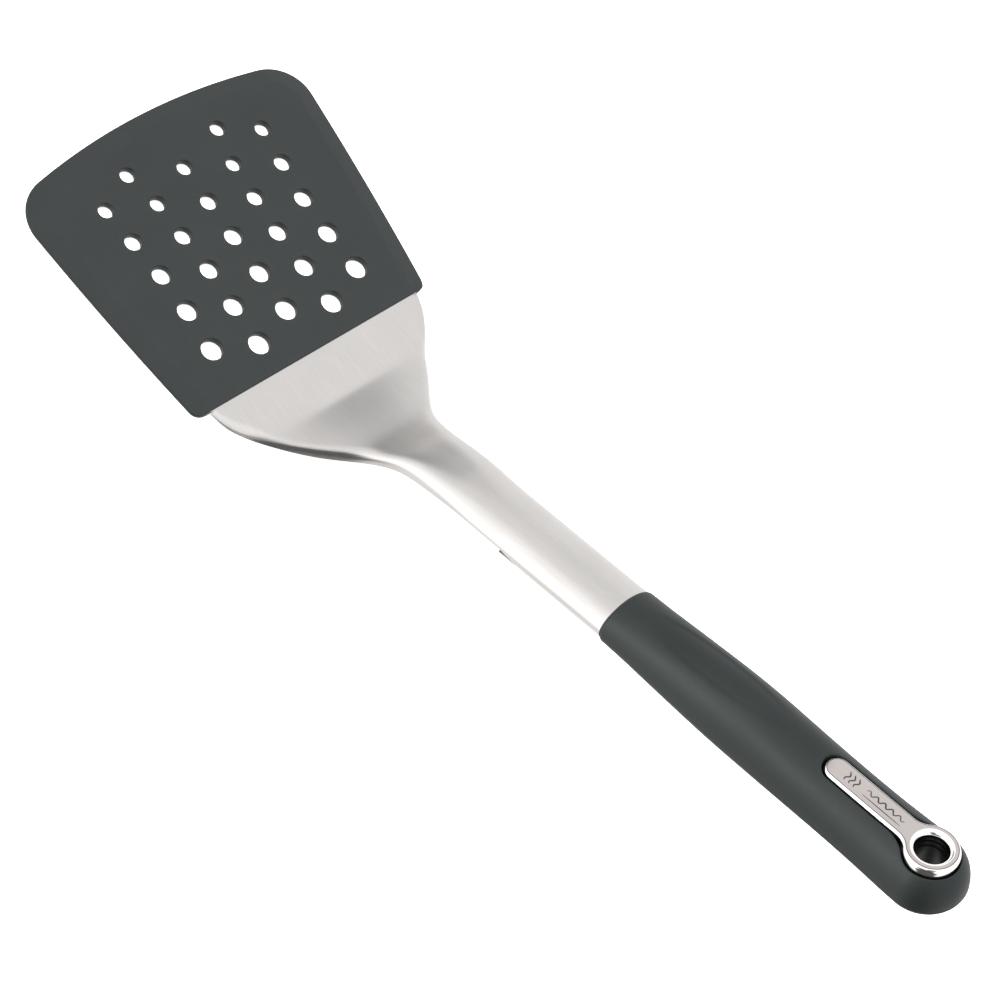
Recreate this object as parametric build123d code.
from build123d import *
import math
import os
from bisect import bisect_left
from itertools import accumulate

# Grill spatula: perforated blade moulded over a stamped steel plate, the plate's own neck and
# channel closed into an oval tube by a second shell, and a soft two-part hand grip with a
# die-cast hang ring. Millimetres. +X runs from the blade to the hang ring, +Y is across the
# blade and +Z is up, away from the cooking surface. The origin is on the centreline near the
# middle of the blade. Everything is built about a steel datum, then raised by LIFT so that
# the blade's flat underside is at Z = 0.

# ---------------------------------------------------------------- blade sizes
BLADE_TOP = 1.8               # top face, above the steel datum
BLADE_T = 3.1                 # thickness inside the bevel
LIFT = BLADE_T - BLADE_TOP
BLADE_REAR_X = 52.9           # straight edge where the steel comes out
BLADE_REAR_HALF = 48.1
BLADE_MID = (11.8, 53.35)     # X and half width on the bowed side edge
BLADE_FRONT_CORNER = (-35.7, 57.55)
BLADE_FRONT_X = -43.4         # middle of the bowed front edge
BLADE_FRONT_R = 14.8
BLADE_REAR_R = 4.0
BEVEL_DROP = 1.9              # front and side edges thin down by this much
BEVEL_WIDTH = 6.0
EDGE_R = 0.35                 # round along the underside
HOLE_RIM_R = 0.25
RIM_HOLE_R = (2.8, 4.0)       # holes between these radii get a rounded rim

# Drain holes: X, hole radius, Y positions. Rows alternate two and three holes, and most
# rows of three have the middle hole at an X of its own.
HOLE_ROWS = [
    (41.83, 3.73, (-15.2, 15.2)),
    (36.5, 3.73, (0.0,)),
    (36.0, 3.73, (-30.2, 30.2)),
    (27.17, 3.46, (-14.75, 14.75)),
    (21.77, 3.46, (0.0,)),
    (21.3, 3.46, (-29.3, 29.3)),
    (12.97, 3.2, (-14.3, 14.3)),
    (7.15, 3.2, (-29.45, 0.0, 29.45)),
    (-0.7, 2.92, (-14.95, 14.95)),
    (-6.7, 2.92, (0.0,)),
    (-6.6, 2.92, (-30.8, 30.8)),
    (-13.9, 2.63, (-15.6, 15.6)),
    (-20.4, 2.63, (0.0,)),
    (-19.85, 2.63, (-32.2, 32.2)),
    (-26.85, 2.63, (-18.5, 18.5)),
]
DRILL_Z = 1.0                 # middle of the drilling cylinders
DRILL_LENGTH = 6.0
CORE_HOLE_GAP = 1.3           # moulding between a drain hole and the steel plate

# ---------------------------------------------------------------- steel sizes
SHEET = 0.8

# Formed neck: X, half width, crown height, side drop, squareness of the section.
NECK = [
    (54.00, 43.40, 1.30, 0.84, 7.0),
    (57.72, 42.37, 1.30, 1.15, 7.0),
    (60.68, 41.13, 1.36, 1.50, 7.0),
    (63.64, 39.34, 1.62, 1.90, 6.9),
    (66.60, 37.19, 2.06, 2.37, 6.7),
    (69.56, 34.80, 2.68, 2.84, 6.2),
    (72.52, 32.39, 3.60, 3.33, 5.5),
    (75.48, 30.03, 4.80, 3.82, 4.92),
    (78.44, 27.65, 6.21, 4.29, 4.42),
    (81.40, 25.19, 7.78, 4.75, 3.99),
    (84.36, 22.60, 9.48, 5.18, 3.62),
    (87.32, 19.86, 11.38, 5.56, 3.30),
    (90.28, 17.20, 13.58, 5.92, 3.03),
    (93.24, 14.90, 16.23, 6.31, 2.80),
    (96.20, 13.17, 19.25, 6.66, 2.61),
    (99.16, 12.00, 22.35, 6.95, 2.43),
    (102.12, 11.25, 25.17, 7.18, 2.30),
    (105.08, 10.88, 27.65, 7.36, 2.20),
    (108.04, 10.78, 29.85, 7.51, 2.13),
    (111.00, 10.79, 31.87, 7.58, 2.07),
    (113.96, 10.84, 33.78, 7.62, 2.02),
    (116.92, 10.86, 35.63, 7.66, 2.0),
    (120.62, 10.85, 37.74, 7.66, 2.0),
    (125.00, 10.82, 40.06, 7.66, 2.0),
    (130.00, 10.80, 42.55, 7.66, 2.0),
]

# Flat plate: ends where the neck starts.
PLATE_Z0 = 0.5                # underside
PLATE_END_X, PLATE_END_HALF = NECK[0][:2]
PLATE_FRONT = (-28.5, 49.5)   # X and half width at the front corner
PLATE_FRONT_APEX_X = -36.0
PLATE_CORNER_R = 9.0

# Oval tube: its axis is a straight line in the XZ plane, and its sections stand square to X.
TUBE_HALF = 10.8              # half width
TUBE_RISE = 6.88              # half height, square to the axis
TUBE_POINT = (140.9, 40.15)   # X and Z of a point on the axis
TUBE_SLOPE = 0.4886
SLANT = math.sqrt(1 + TUBE_SLOPE**2)   # height along Z over height square to the axis
TUBE_START_X = 136.0          # start of the top shell's straight part
MOUTH_X = 142.6               # front end of the under shell
TUBE_FAR_X = 246.0            # far end of the tube and its rods, before the end is cut
SEAM_GAP = 0.03               # between the two shells along the tube
PLUG_X = (168.0, 180.0)
ARCH_SAMPLES = 800
ARCH_SPANS = 30

# ---------------------------------------------------------------- grip sizes
# Grip frame: "along" the grip from its front, and "up" square to that, in the XZ plane.
GRIP_TILT = math.radians(25.09)
GRIP_ORIGIN = (180.56, 59.03)   # X and Z of the frame's origin, near the grip's front end
ALONG = (math.cos(GRIP_TILT), 0.0, math.sin(GRIP_TILT))
UP = (-math.sin(GRIP_TILT), 0.0, math.cos(GRIP_TILT))

# Grip sections: distance along, half width, top, bottom, height of the widest line.
GRIP = [
    (1.7, 11.37, 8.52, -7.01, -0.03),
    (3.0, 11.40, 8.75, -7.08, -0.08),
    (10.0, 11.45, 9.50, -7.30, -0.26),
    (20.0, 11.78, 10.40, -7.65, -0.50),
    (30.0, 12.10, 11.30, -8.00, -0.75),
    (40.0, 12.40, 12.10, -8.30, -1.00),
    (50.0, 12.55, 12.60, -8.47, -1.25),
    (60.0, 12.52, 12.60, -8.45, -1.45),
    (70.0, 12.47, 12.10, -8.25, -1.65),
    (80.0, 12.42, 11.70, -7.90, -1.82),
    (90.0, 12.38, 11.50, -7.60, -1.95),
    (100.0, 12.50, 11.40, -7.42, -2.00),
    (110.0, 12.80, 11.50, -7.40, -2.00),
    (116.0, 13.05, 11.80, -7.40, -2.00),
    (122.0, 13.15, 12.00, -7.40, -2.00),
]
GRIP_SPANS = 24               # spline spans in half a section
LIP_STEPS = ((1.1, 0.45), (1.3, 0.14), (1.7, 0.0))   # rounded front edge: distance, inset
GRIP_END_LENGTH = 12.3        # rounded end past the last section
GRIP_END_DEGREES = (12, 24, 36, 48, 59, 68, 75, 81, 86, 88.8)   # sections round the end
SKIN = 2.2                    # soft cover thickness over the core
FIT_GAP = 0.1                 # moulding clearance round the tube
TUBE_END_ALONG = 60.0         # how far the tube runs into the grip
SPIGOT_ALONG = 22.0           # front end of the core's spigot inside the tube
SPIGOT_ROD_X = 190.0          # start of the rods the spigot and bosses are cut from
ENVELOPE_X = 170.0            # start of the cover's tube cavity, ahead of the grip
LOCK_ALONG = 46.0             # holes in the tube that the core's bosses fill
LOCK_R = 3.0
LOCK_LENGTH = 60.0

# ---------------------------------------------------------------- hang ring sizes
RING_ALONG = 121.5
RING_R = 7.55                 # top face
BAR_HALF = 3.4
BAR_START = 82.4
NECK_FILLET = 6.6
BADGE_TOP = 11.3
BADGE_BEVEL_OUT = 0.85
BADGE_BEVEL_DOWN = 1.3
BADGE_BASE = 7.55
ADHESIVE_OUT = 0.3
ADHESIVE_HOLE_R = 5.6
SEAT_FLOOR = 7.4
SEAT_HEIGHT = 30.0
SEAT = (4.6, 8.75, 9.0, 81.0)   # recess: bar half width, ring radius, neck fillet, start
HOLE_R = 4.5                  # lower part of the hang hole
HOLE_BOTTOM = -30.0
HOLE_TOP = 20.0
LINER_R = 4.75                # wider upper part of the hole in the core
LINER_FLOOR = 5.5
LIP_R = 5.2                   # hole in the badge
FUNNEL_R = 5.9                # flared mouth of that hole
FUNNEL_DEPTH = 2.2
FUNNEL_HEIGHT = 1.0           # cutter height above the badge


# ---------------------------------------------------------------- steel sections
def tube_axis_z(x):
    return TUBE_POINT[1] + TUBE_SLOPE * (x - TUBE_POINT[0])


# Point spacing shared by every arch, close together at both ends.
CLUSTER = [0.5 * (1 - math.cos(math.pi * i / ARCH_SPANS)) for i in range(ARCH_SPANS + 1)]


def arch(x, half, crown, drop, power, side=1.0):
    """Superellipse arch from -Y to +Y, humped up (side 1) or down (-1): edge, start, end."""
    dense = []
    for i in range(ARCH_SAMPLES + 1):
        angle = -math.pi / 2 + math.pi * i / ARCH_SAMPLES
        sine, cosine = math.sin(angle), max(0.0, math.cos(angle))
        y = half * math.copysign(abs(sine) ** (2 / power), sine)
        z = crown - side * drop * (1 - cosine ** (2 / power))
        dense.append((y, z))
    steps = [math.dist(near, far) for near, far in zip(dense, dense[1:])]
    run = list(accumulate(steps, initial=0.0))

    start = Vector(x, -half, crown - side * drop)
    end = Vector(x, half, crown - side * drop)
    points = [start]
    for fraction in CLUSTER[1:-1]:
        target = fraction * run[-1]
        k = bisect_left(run, target) - 1
        part = (target - run[k]) / (run[k + 1] - run[k])
        (y0, z0), (y1, z1) = dense[k], dense[k + 1]
        points.append(Vector(x, y0 + part * (y1 - y0), z0 + part * (z1 - z0)))
    points.append(end)
    return Edge.make_spline(points, parameters=CLUSTER), start, end


def channel(x, half, crown, drop, power, wall, side=1.0):
    """Closed section of sheet bent to an arch; wall is the sheet's height along Z."""
    outer, outer_start, outer_end = arch(x, half, crown, drop, power, side)
    inner, inner_start, inner_end = arch(
        x, half - SHEET, crown - side * wall, drop - wall, power, side
    )
    return Wire([
        outer,
        Edge.make_line(outer_end, inner_end),
        inner,
        Edge.make_line(inner_start, outer_start),
    ])


def tube_channel(x, side=1.0, gap=0.0):
    """Upper (side 1) or lower (-1) half of the tube wall, lowered by a gap."""
    rise = TUBE_RISE * SLANT
    crown = tube_axis_z(x) - gap + side * rise
    return channel(x, TUBE_HALF, crown, rise, 2.0, SHEET * SLANT, side)


def oval_rod(x_start, x_end, inset):
    """Solid rod along the tube, inset from its outer surface."""
    half, rise = TUBE_HALF - inset, TUBE_RISE * SLANT - inset * SLANT
    wires = []
    for x in (x_start, x_end):
        top = arch(x, half, tube_axis_z(x) + rise, rise, 2.0)[0]
        low = arch(x, half, tube_axis_z(x) - rise, rise, 2.0, -1.0)[0]
        wires.append(Wire([top, low]))
    return Solid.make_loft(wires, ruled=True)


# ---------------------------------------------------------------- grip frame helpers
def grip_point(along, y, up):
    return Vector(
        GRIP_ORIGIN[0] + along * ALONG[0] + up * UP[0],
        y,
        GRIP_ORIGIN[1] + along * ALONG[2] + up * UP[2],
    )


def grip_plane(up):
    """Plane square to the hang hole: local x runs along the grip, local y across it."""
    return Plane(origin=grip_point(0, 0, up), x_dir=ALONG, z_dir=UP)


def grip_block(along, depth):
    """Large block from a cut across the grip, rearward, or forward if depth is negative."""
    plane = Plane(origin=grip_point(along, 0, 0), x_dir=(0, 1, 0), z_dir=ALONG)
    return plane * (Pos(0, 0, depth / 2) * Box(200, 200, abs(depth)))


def lock_pin(radius):
    return grip_plane(0) * Pos(LOCK_ALONG, 0, 0) * Cylinder(radius, LOCK_LENGTH)


def hang_hole(radius, low, high):
    middle = Pos(RING_ALONG, 0, (high - low) / 2)
    return grip_plane(low) * middle * Cylinder(radius, high - low)


def keyhole_wire(bar_half, ring_r, fillet_r, start):
    """Bar with a round front end, running through neck fillets into a ring."""
    fillet_y = bar_half + fillet_r
    reach = ring_r + fillet_r
    back = math.sqrt(reach**2 - fillet_y**2)   # ring centre to fillet centre, along
    fillet_x = RING_ALONG - back
    touch_x = RING_ALONG - back * ring_r / reach   # where a fillet meets the ring
    touch_y = fillet_y * ring_r / reach
    angle = math.atan2(touch_y - fillet_y, touch_x - fillet_x) / 2 - math.pi / 4
    mid_x = fillet_x + fillet_r * math.cos(angle)
    mid_y = fillet_y + fillet_r * math.sin(angle)
    bar_x = start + bar_half
    arc, line = Edge.make_three_point_arc, Edge.make_line
    return Wire([
        arc((bar_x, bar_half), (start, 0), (bar_x, -bar_half)),
        line((bar_x, -bar_half), (fillet_x, -bar_half)),
        arc((fillet_x, -bar_half), (mid_x, -mid_y), (touch_x, -touch_y)),
        arc((touch_x, -touch_y), (RING_ALONG + ring_r, 0), (touch_x, touch_y)),
        arc((touch_x, touch_y), (mid_x, mid_y), (fillet_x, bar_half)),
        line((fillet_x, bar_half), (bar_x, bar_half)),
    ])


def badge_wire(offset):
    """Outline of the badge's top face, grown by an offset."""
    return keyhole_wire(
        BAR_HALF + offset, RING_R + offset, NECK_FILLET - offset, BAR_START - offset
    )


def badge_prism(offset, low, high):
    return grip_plane(low) * extrude(Face(badge_wire(offset)), high - low)


def oval(along, half, top, bottom, mid, inset=0.0):
    """Egg section of the grip, widest at mid, built from an upper and a lower half oval."""
    width, rise, fall = half - inset, top - mid - inset, mid - bottom - inset
    parameters = [i / GRIP_SPANS for i in range(GRIP_SPANS + 1)]
    upper, lower = [], []
    for parameter in parameters:
        cosine, sine = math.cos(math.pi * parameter), math.sin(math.pi * parameter)
        upper.append(grip_point(along, width * cosine, mid + rise * sine))
        lower.append(grip_point(along, -width * cosine, mid - fall * sine))
    up = Vector(*UP)
    return Wire([
        Edge.make_spline(upper, tangents=[up, up * -1], parameters=parameters),
        Edge.make_spline(lower, tangents=[up * -1, up], parameters=parameters),
    ])


def grip_body(start=0.0, inset=0.0):
    """Grip from a given distance to its rounded end, as one smooth loft."""
    rows = [oval(*row, inset=inset) for row in GRIP if row[0] >= start]
    along, half, top, bottom, mid = GRIP[-1]
    width, rise, fall = half - inset, top - mid - inset, mid - bottom - inset
    length = GRIP_END_LENGTH - inset
    for degrees in GRIP_END_DEGREES:
        cosine, sine = math.cos(math.radians(degrees)), math.sin(math.radians(degrees))
        rows.append(oval(
            along + length * sine, width * cosine, mid + rise * cosine, mid - fall * cosine, mid
        ))
    return Solid.make_loft(rows)


# ---------------------------------------------------------------- blade and plate
def drill(body, extra_r=0.0):
    """Cut the drain holes, widened by extra_r."""
    for x, radius, across in HOLE_ROWS:
        for y in across:
            body -= Pos(x, y, DRILL_Z) * Cylinder(radius + extra_r, DRILL_LENGTH)
    return body


def round_front(wire, radius):
    """Face inside a wire, with its two front corners rounded."""
    face = Face(wire)
    return fillet([v for v in face.vertices() if v.X < 0], radius)


def make_plate():
    x_rear, rear = PLATE_END_X, PLATE_END_HALF
    x_front, front = PLATE_FRONT
    outline = Wire([
        Edge.make_line((x_rear, -rear), (x_rear, rear)),
        Edge.make_line((x_rear, rear), (x_front, front)),
        Edge.make_three_point_arc((x_front, front), (PLATE_FRONT_APEX_X, 0), (x_front, -front)),
        Edge.make_line((x_front, -front), (x_rear, -rear)),
    ])
    flat = Pos(0, 0, PLATE_Z0) * extrude(round_front(outline, PLATE_CORNER_R), SHEET)
    return drill(flat, CORE_HOLE_GAP)


def blade_outline():
    x_rear, rear = BLADE_REAR_X, BLADE_REAR_HALF
    x_mid, mid = BLADE_MID
    x_front, front = BLADE_FRONT_CORNER
    return Wire([
        Edge.make_line((x_rear, -rear), (x_rear, rear)),
        Edge.make_three_point_arc((x_rear, rear), (x_mid, mid), (x_front, front)),
        Edge.make_three_point_arc((x_front, front), (BLADE_FRONT_X, 0), (x_front, -front)),
        Edge.make_three_point_arc((x_front, -front), (x_mid, -mid), (x_rear, -rear)),
    ])


def make_blade(plate):
    blade = Pos(0, 0, -LIFT) * extrude(round_front(blade_outline(), BLADE_FRONT_R), BLADE_T)
    top_face = blade.faces().sort_by(Axis.Z)[-1]
    skirt = [e for e in top_face.edges() if e.center().X < BLADE_REAR_X - 0.5]
    blade = blade.chamfer(BEVEL_WIDTH, BEVEL_DROP, skirt, top_face)

    # Upright edges at the two rear corners.
    rear_corners = [
        e for e in blade.edges()
        if e.center().X > BLADE_REAR_X - 0.01
        and abs(e.center().Y) > BLADE_REAR_HALF - 1
        and abs((e @ 1 - e @ 0).Z) > 0.5
    ]
    blade = fillet(rear_corners, BLADE_REAR_R)
    blade = fillet(blade.faces().sort_by(Axis.Z)[0].edges(), EDGE_R)

    blade = drill(blade)
    smallest, largest = RIM_HOLE_R
    rims = [
        e for e in blade.edges()
        if e.geom_type == GeomType.CIRCLE
        and e.radius < largest
        and abs(e.center().Z - BLADE_TOP) < 1e-3
        and e.length > 2 * math.pi * smallest
    ]
    return fillet(rims, HOLE_RIM_R) - plate


# ---------------------------------------------------------------- tube shells
def make_top_shell(plate, end_cut):
    """Plate, neck and upper half of the tube in one piece."""
    sections = []
    for i, row in enumerate(NECK):
        before, after = NECK[max(0, i - 1)], NECK[min(len(NECK) - 1, i + 1)]
        slope = (after[2] - before[2]) / (after[0] - before[0]) if i else 0.0
        sections.append(channel(*row, wall=SHEET * math.sqrt(1 + slope**2)))
    tube_ends = [tube_channel(x) for x in (TUBE_START_X, TUBE_FAR_X)]
    upper = Solid.make_loft(sections + tube_ends[:1]) + Solid.make_loft(tube_ends, ruled=True)
    return upper - end_cut - lock_pin(LOCK_R) + plate


def make_under_shell(end_cut):
    ends = [tube_channel(x, side=-1.0, gap=SEAM_GAP) for x in (MOUTH_X, TUBE_FAR_X)]
    return Solid.make_loft(ends, ruled=True) - end_cut - lock_pin(LOCK_R)


# ---------------------------------------------------------------- grip pieces
def make_core(core_body, seat, end_cut):
    """Rear body of the grip, with a spigot inside the tube and bosses through its wall."""
    spigot = oval_rod(SPIGOT_ROD_X, TUBE_FAR_X, SHEET + FIT_GAP)
    spigot = spigot - grip_block(SPIGOT_ALONG, -120) - end_cut
    bosses = lock_pin(LOCK_R - FIT_GAP) & oval_rod(SPIGOT_ROD_X, TUBE_FAR_X, 0.0)
    core = core_body - seat + spigot + bosses
    liner = hang_hole(LINER_R, LINER_FLOOR, HOLE_TOP)
    return core - liner - hang_hole(HOLE_R, HOLE_BOTTOM, LINER_FLOOR + 0.1)


def make_cover(core_body, seat, end_cut):
    """Soft cover over the core and the tube."""
    front_lip = Solid.make_loft(
        [oval(along, *GRIP[0][1:], inset=inset) for along, inset in LIP_STEPS], ruled=True
    )
    shell = grip_body() + front_lip
    envelope = oval_rod(ENVELOPE_X, TUBE_FAR_X, -FIT_GAP) - end_cut
    return shell - core_body - envelope - seat - hang_hole(HOLE_R, HOLE_BOTTOM, 0.0)


# ---------------------------------------------------------------- hang badge
def make_funnel():
    """Cutter for the flared mouth of the badge's hole."""
    flare = FUNNEL_R - LIP_R
    profile = Wire([
        Edge.make_line((0, -FUNNEL_DEPTH), (LIP_R, -FUNNEL_DEPTH)),
        Edge.make_spline(
            [(LIP_R, -FUNNEL_DEPTH), (LIP_R + flare * 0.3, -0.9), (FUNNEL_R, 0.0)],
            tangents=[(0, 1), (1, 0.12)],
        ),
        Edge.make_line((FUNNEL_R, 0.0), (FUNNEL_R, FUNNEL_HEIGHT)),
        Edge.make_line((FUNNEL_R, FUNNEL_HEIGHT), (0, FUNNEL_HEIGHT)),
        Edge.make_line((0, FUNNEL_HEIGHT), (0, -FUNNEL_DEPTH)),
    ])
    funnel = revolve(Face(profile).rotate(Axis.X, 90), Axis.Z, 360)
    return grip_plane(BADGE_TOP) * Pos(RING_ALONG, 0, 0) * funnel


def make_badge():
    bevel_base = BADGE_TOP - BADGE_BEVEL_DOWN
    low_plate = badge_prism(BADGE_BEVEL_OUT, BADGE_BASE, bevel_base)
    bevel = Solid.make_loft(
        [
            grip_plane(bevel_base) * badge_wire(BADGE_BEVEL_OUT),
            grip_plane(BADGE_TOP) * badge_wire(0.0),
        ],
        ruled=True,
    )
    return low_plate + bevel - make_funnel() - hang_hole(LIP_R, 5.0, HOLE_TOP)


def make_adhesive():
    """Thin layer between the seat and the badge."""
    layer = badge_prism(ADHESIVE_OUT, SEAT_FLOOR, BADGE_BASE)
    return layer - hang_hole(ADHESIVE_HOLE_R, 7.0, 9.0)


# ---------------------------------------------------------------- assembly
plate = make_plate()
end_cut = grip_block(TUBE_END_ALONG, 80)
core_body = grip_body(TUBE_END_ALONG, SKIN)
seat = grip_plane(SEAT_FLOOR) * extrude(Face(keyhole_wire(*SEAT)), SEAT_HEIGHT)

parts = {
    "blade_overmould": make_blade(plate),
    "shank_top_shell": make_top_shell(plate, end_cut),
    "shank_under_shell": make_under_shell(end_cut),
    "tube_plug": oval_rod(*PLUG_X, SHEET + FIT_GAP),
    "handle_core": make_core(core_body, seat, end_cut),
    "grip_cover": make_cover(core_body, seat, end_cut),
    "hang_badge": make_badge(),
    "badge_adhesive": make_adhesive(),
}

os.makedirs("parts", exist_ok=True)
for name, shape in parts.items():
    export_step(Pos(0, 0, LIFT) * shape, f"parts/{name}.step")
